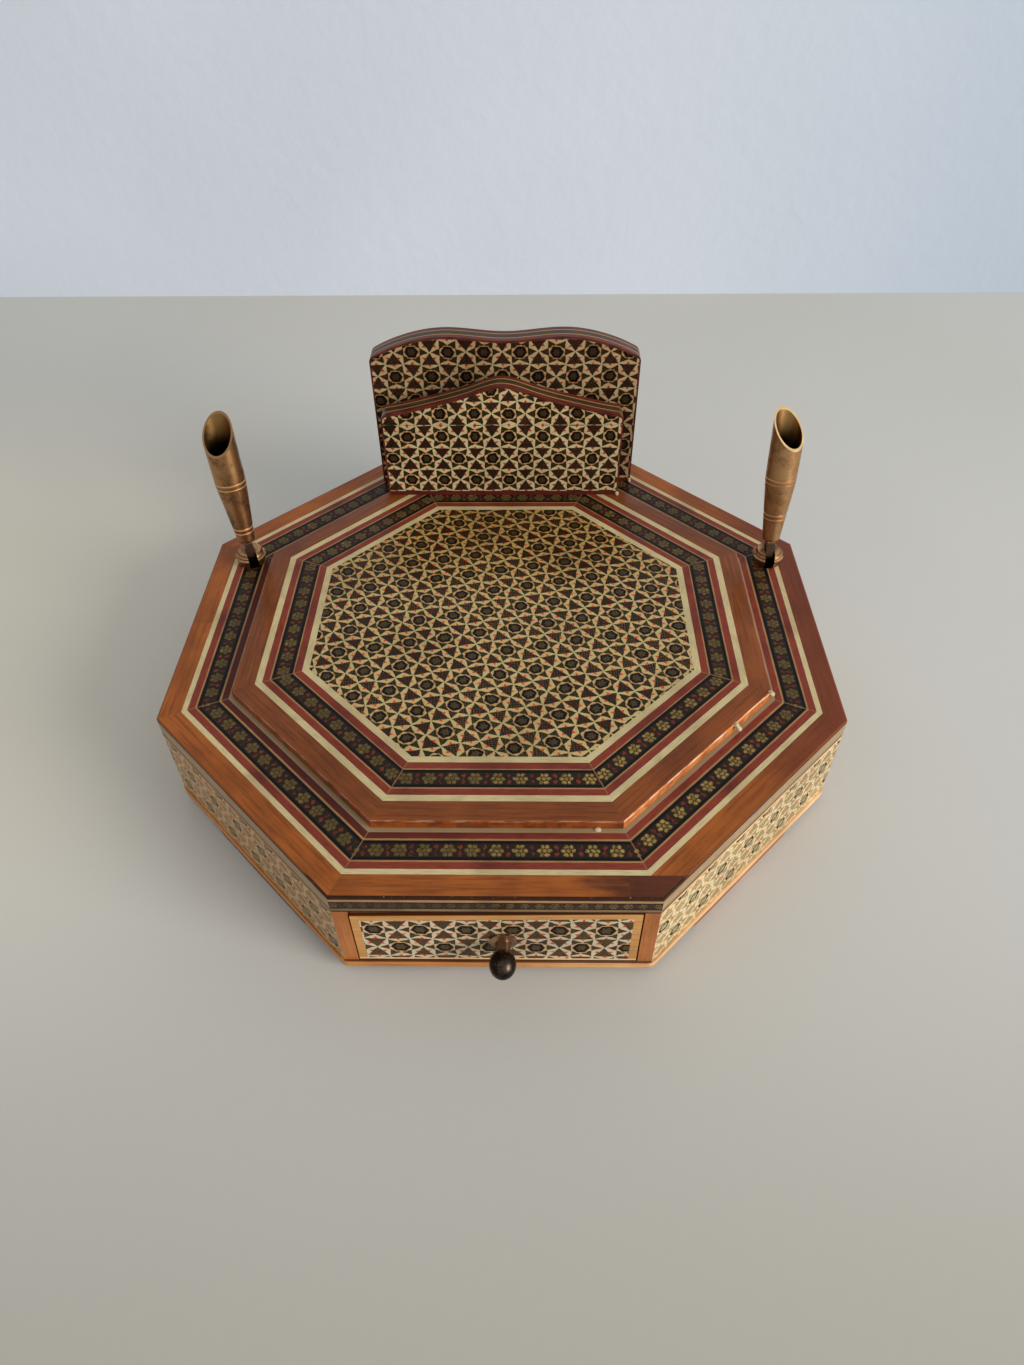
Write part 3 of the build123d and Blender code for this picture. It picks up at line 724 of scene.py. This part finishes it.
def tarnished(name, metal, patina, amount=0.5, pitted=True):
    """A metal finish, and the colour and dullness of the tarnish on it."""
    look = Finish(name, coat=0.0, metal=1.0, level=0.5)
    tarnish = look.use(TARNISH, Metal=metal, Patina=patina, Amount=amount)
    if pitted:
        look.emboss(tarnish["Relief"], 0.08, 0.0001)
    return look, tarnish["Colour"], tarnish["Dull"]


def old_metal(*metal):
    look, colour, dull = tarnished(*metal)
    return look.show(colour, dull)


def knob_bronze():
    """Dark bronze with a painted highlight on the neck between the knob and its rosette."""
    look, colour, dull = tarnished("dark bronze", paint(84, 72, 62), paint(36, 29, 25), 0.6)
    _, depth, _ = look.parts_in_mm((0.0, knob_low.y, 0.0))
    length = (knob_high.y - knob_low.y) / MM
    # painted highlight on the neck
    neck = look.times(look.ramp(depth, 0.62 * length, 0.74 * length), 0.6)
    return look.show(look.over(neck, colour, paint(168, 136, 106)), dull)


# the pen holders as they stand: slot heading, lean and mouth roll in degrees, and the lower
# groove's distance from the cross pin in millimetres
HOLDERS = {"left": (114.5, 9.0, -31.0, 11.4), "right": (86.5, 13.7, 29.0, 16.6)}
FOOT_AT, WAIST_AT, MOUTH_AT = 5.6, 31.3, 51.0     # millimetres along a funnel from its pin
FOOT_RADIUS, WAIST_RADIUS, MOUTH_RADIUS = 3.3, 5.95, 6.15
FUNNEL_WALL, GROOVE_PITCH, MOUTH_SLANT = 0.7, 1.9, radians(49)
SLOT_HALF = 1.88


def holder_place(look, side, lean=0.0):
    """Place in millimetres from a pen holder's cross pin, in the holder's own axes."""
    low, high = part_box(side + "_cross_pin")
    heading = Matrix.Rotation(radians(HOLDERS[side][0]), 3, "Z")
    turn = heading @ Matrix.Rotation(radians(lean), 3, "Y")
    return look.place_in_mm((low + high) / 2, turn.to_euler("XYZ"))


def funnel_brass(name, side, metal, patina, rim, line):
    """Tarnished brass with painted highlights along its turned grooves, a cut rim, painted shade
    deepening inside, and a dark tongue.
    """
    look, colour, dull = tarnished(name, metal, patina)
    _, lean, roll, lower_groove = HOLDERS[side]
    place = holder_place(look, side, lean)
    x, y, along = look.parts(place)

    def cone(start, radius, end, end_radius):
        return look.lift(look.minus(along, start), (end_radius - radius) / (end - start), radius)

    skin = look.smaller(cone(FOOT_AT, FOOT_RADIUS, WAIST_AT, WAIST_RADIUS),
                        cone(WAIST_AT, WAIST_RADIUS, MOUTH_AT, MOUTH_RADIUS))
    buried = look.minus(skin, look.vector("LENGTH", look.point(x, y)))
    # painted highlights: pale lines beside each groove, for light that their flanks reflect
    for centre in (lower_groove, WAIST_AT):
        from_groove = look.apart(look.apart(along, centre), GROOVE_PITCH / 2)
        colour = look.over(look.below(from_groove, 0.3, 0.4), colour, line)
    mouth_turn = Matrix.Rotation(radians(roll), 3, "Z") @ Matrix.Rotation(-MOUTH_SLANT, 3, "Y")
    facing = mouth_turn @ Vector((0.0, 0.0, 1.0))
    past_mouth = look.minus(look.vector("DOT_PRODUCT", place, facing), MOUTH_AT * facing.z)
    # painted shade: the inside darkens with depth below the mouth
    depth_shade = look.over(look.ramp(past_mouth, -0.5, -8.5), paint(160, 122, 76), paint(16, 11, 8))
    inside = look.times(look.above(buried, FUNNEL_WALL * 0.6, 0.1), look.above(along, 12.0, 1.0))
    colour = look.over(inside, colour, depth_shade)
    colour = look.over(look.above(past_mouth, -0.12, 0.12), colour, rim)
    colour = look.over(look.below(along, FOOT_AT - 0.2, 0.8), colour, paint(104, 82, 66))
    return look.show(colour, look.plus(dull, 0.08))


def boss_brass(name, side, metal, patina):
    """Turned brass with fine rings, and painted shade that makes the slot black."""
    look, colour, dull = tarnished(name, metal, patina, pitted=False)
    _, across, height = look.parts(holder_place(look, side))
    rings = look.maths("SINE", look.times(height, 4.6))
    look.emboss(rings, 0.35)
    colour = look.over(look.ramp(rings, 0.2, 0.9), colour, patina)
    # painted shade: black in the slot
    slot = look.below(look.size(across), SLOT_HALF, 0.06)
    return look.show(look.over(slot, colour, paint(20, 14, 10)), look.plus(dull, 0.1))


def wear(material, pieces):
    for piece in pieces:
        piece.data.materials.clear()
        piece.data.materials.append(material)


def dress(material, *names):
    """Gives CAD nodes a material."""
    wear(material, [NODES[name] for name in names])
    return material


def dress_the_case():
    walls = [name for name in NODES if name.startswith("wall_")]
    dress(plain_wood("plain case wood", paint(160, 108, 62), paint(104, 62, 32), 0.45),
          "guide_left", "guide_right", "deck_board", "letter_back_board",
          "letter_front_board", *walls)
    dress(plain_wood("plain drawer wood", paint(176, 128, 78), paint(120, 76, 42), 0.45, "Y"),
          "drawer_left_side", "drawer_right_side", "drawer_floor", "drawer_back",
          "drawer_front")
    case_wood = (paint(200, 130, 62), paint(252, 206, 150), paint(138, 78, 34), 0.42)
    dress(framed_wood("light case wood", *case_wood), "wall_beads")
    dress(framed_wood("bottom board wood", *case_wood, board_high.z / MM - 0.45),
          "bottom_board")
    dress(plain_wood("post wood", paint(182, 112, 58), paint(126, 66, 30), 0.5, "Z", True),
          "post_left", "post_right")
    dress(framed_wood("foot wood", paint(110, 60, 30), paint(176, 104, 60),
                      paint(60, 32, 18), 0.6),
          "foot_front_left", "foot_front_right", "foot_back_left", "foot_back_right")
    dress(drawer_border_wood(), "drawer_border")
    dress(deck_wood(), "deck_wood_border")
    return dress(tier_wood(), "tier_wood_border", "tier_board")


def dress_the_inlay():
    dress(framed_line("cream line", CREAM, paint(150, 130, 88),
                      tier_foot_shade=paint(150, 126, 94)), "deck_cream_lines", "tier_cream_lines")
    dress(framed_line("red line", CRIMSON, paint(60, 22, 16), DULL_GOLD, shaded=0.75),
          "deck_red_lines", "tier_red_lines")
    dress(gold_lines(), "deck_gold_lines", "tier_gold_lines")
    dress(edge_line(), "deck_edge_gold_lines")
    for step, middle in (("deck", DECK_BAND), ("tier", TIER_BAND)):
        dress(flower_frame("flower band of the " + step, middle, mitre=DULL_GOLD),
              step + "_khatam_band")
    dress(flower_frame("fine flower strip", STRIP_MIDDLE, True, Pitch=4.4, Size=0.62,
                       Petal=paint(118, 96, 62), Ground=paint(48, 35, 21),
                       Red=paint(76, 52, 32)), "deck_edge_khatam_strip")
    dress(field_stars(), "tier_khatam_field")
    dress(wall_stars(), "wall_khatam_sheets")
    return dress(dark_line(), "deck_edge_dark_lines")


def dress_the_rack():
    dress(panel_stars("star inlay of the front board", -41.0, DECK_TOP + 11.3 * MM, 14.2, 10.6,
                      26.7, Cream=paint(196, 178, 136), Brown=paint(34, 24, 15),
                      Speck=paint(84, 64, 42), Olive=paint(40, 33, 14),
                      Red=paint(150, 52, 38), Gold=paint(184, 136, 86)),
          "letter_front_khatam_sheets")
    dress(panel_stars("star inlay of the back board", -38.3, DECK_TOP + 62.0 * MM, 14.9, 10.7,
                      Cream=paint(176, 152, 112), Brown=paint(32, 21, 14),
                      Speck=paint(78, 56, 38), Olive=paint(36, 28, 13),
                      Red=paint(132, 48, 35), Gold=paint(150, 106, 66)),
          "letter_back_khatam_sheets")
    for board, low, high in (("front", front_low, front_high), ("back", back_low, back_high)):
        dress(layered_edge("layered edge of the " + board + " board", low, high),
              "letter_" + board + "_edge_strip")
    dress(framed_line("red base line", paint(92, 32, 26), paint(48, 18, 16)),
          "letter_front_base_lines", "letter_back_base_lines")


def dress_the_drawer():
    dress(panel_stars("star inlay of the drawer", -38.0, drawer_high.z - 7.0 * MM, 14.4, 10.8,
                      Hexagon=0.18, Cream=paint(204, 190, 162), Brown=paint(62, 47, 30),
                      Speck=paint(116, 97, 64), Olive=paint(58, 45, 24),
                      Red=paint(192, 74, 38), Gold=paint(200, 156, 108)),
          "drawer_khatam_sheet")
    dress(knob_bronze(), "knob")
    dress(old_metal("worn bronze", paint(172, 134, 106), paint(74, 54, 42), 0.45),
          "knob_rosette")
    dress(old_metal("screw metal", paint(170, 166, 158), paint(90, 80, 70), 0.3), "knob_screw")


def dress_the_pen_holders():
    dress(funnel_brass("browned brass", "left", paint(172, 130, 90), paint(104, 72, 48),
                       paint(160, 122, 82), paint(214, 166, 116)), "left_funnel")
    dress(funnel_brass("yellow brass", "right", paint(190, 148, 104), paint(146, 104, 70),
                       paint(236, 196, 140), paint(190, 146, 102)), "right_funnel")
    dress(boss_brass("brass of the left boss", "left", paint(186, 142, 100),
                     paint(96, 70, 46)), "left_boss")
    dress(boss_brass("brass of the right boss", "right", paint(206, 156, 108),
                     paint(104, 74, 48)), "right_boss")
    dress(old_metal("plain brass", paint(200, 152, 104), paint(110, 76, 48), 0.4),
          "left_boss_nut", "right_boss_nut", "left_cross_pin", "right_cross_pin")


# ---------------- pieces shaped here
def choose(piece, kind, wanted):
    """Selects faces, edges or verts of a piece that is open for editing."""
    bpy.ops.mesh.select_mode(type=kind[:-1].upper())
    bpy.ops.mesh.select_all(action="DESELECT")
    shape = bmesh.from_edit_mesh(piece.data)
    for part in getattr(shape, kind):
        part.select_set(wanted(part))
    shape.select_flush_mode()
    bmesh.update_edit_mesh(piece.data)


def start_shaping(name):
    """Names the new primitive, puts its place in its mesh and opens it for editing."""
    piece = bpy.context.object
    piece.name = name
    bpy.ops.object.transform_apply(location=True, rotation=True, scale=True)
    bpy.ops.object.mode_set(mode="EDIT")
    return piece


def finish_shaping(piece, material):
    """Smooths a piece that is out of edit mode, and fixes it to the case."""
    bpy.ops.object.shade_smooth_by_angle(angle=radians(50))
    bpy.ops.object.select_all(action="DESELECT")
    wear(material, [piece])
    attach(piece, "case")


def octagon_frame(name, outer, width, foot, top, rounding):
    """A flat eight-sided frame with a rounded outer top edge and rounded corners; sizes in
    millimetres, outer from the middle to a side."""
    bpy.ops.mesh.primitive_cylinder_add(
        vertices=8, radius=outer / cos(HALF_CORNER) * MM, depth=(top - foot) * MM,
        location=(0.0, CENTRE_Y, (foot + top) / 2 * MM), rotation=(0.0, 0.0, HALF_CORNER))
    piece = start_shaping(name)
    choose(piece, "faces", lambda face: abs(face.normal.z) > 0.9)
    bpy.ops.mesh.inset(thickness=width * MM, depth=0.0)
    bpy.ops.mesh.bridge_edge_loops()
    middle = Vector(MIDDLE)
    reach = (outer - width / 2) / cos(HALF_CORNER) * MM

    def outside(vertex):
        return (vertex.co - middle).xy.length > reach

    def rounded(edge):
        first, last = edge.verts
        high = min(first.co.z, last.co.z) > (foot + top) / 2 * MM
        upright = abs(first.co.z - last.co.z) > (top - foot) / 2 * MM
        return outside(first) and outside(last) and (high or upright)

    choose(piece, "edges", rounded)
    bpy.ops.mesh.bevel(offset=rounding * MM, segments=3, affect="EDGES")
    bpy.ops.mesh.select_all(action="SELECT")
    bpy.ops.mesh.normals_make_consistent(inside=False)
    bpy.ops.object.mode_set(mode="OBJECT")
    return piece


def round_the_edges(tier_finish, line_finish):
    """The tier's border and the deck's outermost lines, with their edges rubbed round."""
    border = octagon_frame("tier_border_rounded", TIER_EDGE, TIER_BORDER, tier_low.z / MM,
                           TIER_LEVEL, 0.42)
    finish_shaping(border, tier_finish)
    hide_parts("tier_wood_border")
    edge_foot = edge_low.z / MM
    foot_depth, foot_height = 1.2, 0.6
    line_depth, line_height = 0.6, 1.5
    foot = octagon_frame("deck_foot_line", DECK_EDGE, foot_depth, edge_foot,
                         edge_foot + foot_height, 0.1)
    line = octagon_frame("deck_edge_rounded", DECK_EDGE, line_depth, DECK_LEVEL - line_height,
                         DECK_LEVEL, 0.3)
    foot.select_set(True)
    line.select_set(True)
    bpy.context.view_layer.objects.active = line
    bpy.ops.object.join()
    finish_shaping(line, line_finish)
    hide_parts("deck_edge_dark_lines")


def glue_drop(name, place, size, heading, sag, material):
    """A dried drop of glue: a flattened blob whose outer end sags, sizes in millimetres."""
    centre = Vector((place[0] * MM, CENTRE_Y + place[1] * MM, place[2] * MM))
    length = size[0] * MM
    bpy.ops.mesh.primitive_uv_sphere_add(segments=20, ring_count=12, radius=MM, location=centre)
    piece = start_shaping(name)
    bpy.ops.transform.resize(value=size, center_override=centre)
    choose(piece, "verts", lambda point: point.co.x - centre.x > 0.25 * length)
    bpy.ops.transform.translate(value=(0.2 * length, 0.0, -sag * MM))
    choose(piece, "verts", lambda point: point.co.x - centre.x > 0.7 * length)
    bpy.ops.transform.resize(value=(0.8, 1.25, 1.2))
    bpy.ops.mesh.select_all(action="SELECT")
    bpy.ops.mesh.vertices_smooth(factor=0.5, repeat=3)
    bpy.ops.object.mode_set(mode="OBJECT")
    piece.data.transform(Matrix.Translation(centre) @ Matrix.Rotation(heading, 4, "Z")
                         @ Matrix.Translation(-centre))
    finish_shaping(piece, material)


def glue_finish():
    """Yellowed dried glue with darker dirt."""
    look = Finish("dried glue", coat=0.3)
    dirt = look.patches(look.place_in_mm(), 0.9, 0.45, 0.7, 3.0, 0.6)
    return look.varnish(look.over(dirt, paint(200, 180, 148), paint(128, 98, 70)), 0.2)


def add_the_glue():
    """Each drop's place, from the octagon's middle, and its size are in millimetres."""
    glue = glue_finish()
    front_face, back_face = [(low.y - CENTRE_Y) / MM for low in (front_low, back_low)]
    front_end, back_end = front_high.x / MM - 0.4, back_high.x / MM - 0.5
    for name, place, size, heading, sag in (
            ("glue_on_tier_edge", (80.6, -54.9, 48.1), (1.9, 1.0, 0.8), -pi / 4, 0.9),
            ("glue_on_tier_corner", (94.9, -39.7, 48.3), (1.3, 1.1, 0.6), -pi / 8, 0.5),
            ("glue_at_tier_foot", (31.5, -95.6, 45.2), (0.8, 1.1, 0.45), -pi / 2, 0.1),
            ("glue_at_front_board", (front_end, front_face, 49.3), (0.9, 0.9, 1.0), -pi / 4, 0.2),
            ("glue_at_back_board", (back_end, back_face, 45.8), (0.8, 0.8, 1.0), -pi / 4, 0.2)):
        glue_drop(name, place, size, heading, sag, glue)


# ---------------- stage, lamps and camera
def stage_plane(name, size, place, turn, material):
    bpy.ops.mesh.primitive_plane_add(size=size, location=place, rotation=turn)
    piece = start_shaping(name)
    bpy.ops.object.mode_set(mode="OBJECT")
    wear(material, [piece])


def cloudy(name, near, darker, far, axis, turning):
    """A pale cloudy surface that turns slowly to another tone along one axis."""
    look = Finish(name, coat=0.0, level=0.1)
    place = look.put("ShaderNodeTexCoord").outputs["Object"]
    tone = look.over(look.patches(place, 3.0, 0.3, 0.7), near, darker)
    shade = look.ramp(look.parts(place)[axis], *turning)
    return look, place, look.over(shade, tone, far)


def table_finish():
    # painted shade: the table turns darker towards the front
    look, place, colour = cloudy("pale table", paint(199, 196, 189), paint(194, 191, 184),
                                 paint(172, 167, 155), "Y", (-0.06, -0.27))
    # the left of the table catches light thrown back by the room
    x, y, _ = look.parts(place)
    lit = look.times(look.ramp(x, -0.07, -0.19), look.ramp(y, -0.17, -0.03),
                     look.ramp(y, 0.3, 0.1))
    look.emboss(look.noise(place, 220.0, 3.0), 0.05, 0.001)
    return look.show(look.over(lit, colour, paint(206, 199, 184)), 0.85)


def plaster_finish():
    look, place, colour = cloudy("pale plaster", paint(212, 218, 228), paint(204, 210, 220),
                                 paint(176, 187, 201), "X", (0.04, 0.4))
    # seen through from behind, so that the back of the piece can be looked at
    behind = look.put("ShaderNodeNewGeometry").outputs["Backfacing"]
    look.feed(look.shader.inputs["Alpha"], look.minus(1.0, behind))
    look.emboss(look.noise(place, 90.0, 3.0), 0.4, 0.001)
    return look.show(colour, 0.8)


def set_the_stage():
    size, wall_y = 4.0, 0.41
    stage_plane("table", size, (0.0, wall_y - size / 2, 0.0), (0.0, 0.0, 0.0), table_finish())
    stage_plane("backdrop", size, (0.0, wall_y, size / 2), (pi / 2, 0.0, 0.0),
                plaster_finish())


def set_the_light():
    """A soft bluish room, and a warm round window to the right and in front."""
    world = bpy.data.worlds.new("room light")
    bpy.context.scene.world = world
    world.use_nodes = True
    background = world.node_tree.nodes["Background"]
    background.inputs["Color"].default_value = (0.95, 0.98, 1.0, 1.0)
    background.inputs["Strength"].default_value = 0.68
    place, aim = Vector((2.0, -1.2, 0.95)), Vector((0.0, 0.0, 0.03))
    bpy.ops.object.light_add(type="AREA", location=place)
    window = bpy.context.object
    window.name = "window"
    window.rotation_euler = (aim - place).to_track_quat("-Z", "Y").to_euler()
    light = window.data
    light.shape = "DISK"
    light.size = 1.3
    light.energy = 54.0
    light.color = (1.0, 0.97, 0.92)


CAMERA_PLACE = (9.04, -262.95, 238.11)     # millimetres from the deck's middle
CAMERA_TURNS = (0.022, 0.800, -0.014)      # yaw, pitch and roll, radians
FOCAL_PIXELS, PICTURE_WIDE = 920.9, 1024
SENSOR_WIDE = 36.0


def set_the_camera():
    yaw, pitch, roll = CAMERA_TURNS
    forward = Vector((-sin(yaw) * cos(pitch), cos(yaw) * cos(pitch), -sin(pitch)))
    right = Vector((cos(yaw), sin(yaw), 0.0))
    up = right.cross(forward)
    level_right = right * cos(roll) + up * sin(roll)
    level_up = -right * sin(roll) + up * cos(roll)
    place = Vector(CAMERA_PLACE) * MM + Vector((0.0, CENTRE_Y, DECK_TOP))
    turn = Matrix((level_right, level_up, -forward)).transposed()
    bpy.ops.object.camera_add()
    camera = bpy.context.object
    camera.matrix_world = Matrix.Translation(place) @ turn.to_4x4()
    lens = camera.data
    lens.sensor_fit = "HORIZONTAL"
    lens.sensor_width = SENSOR_WIDE
    lens.lens = FOCAL_PIXELS / PICTURE_WIDE * SENSOR_WIDE
    lens.clip_start = 0.01
    bpy.context.scene.camera = camera


bpy.ops.object.select_all(action="DESELECT")
border_finish = dress_the_case()
line_finish = dress_the_inlay()
dress_the_rack()
dress_the_drawer()
dress_the_pen_holders()
round_the_edges(border_finish, line_finish)
add_the_glue()
set_the_stage()
set_the_light()
set_the_camera()
bpy.context.scene.view_settings.view_transform = "Standard"
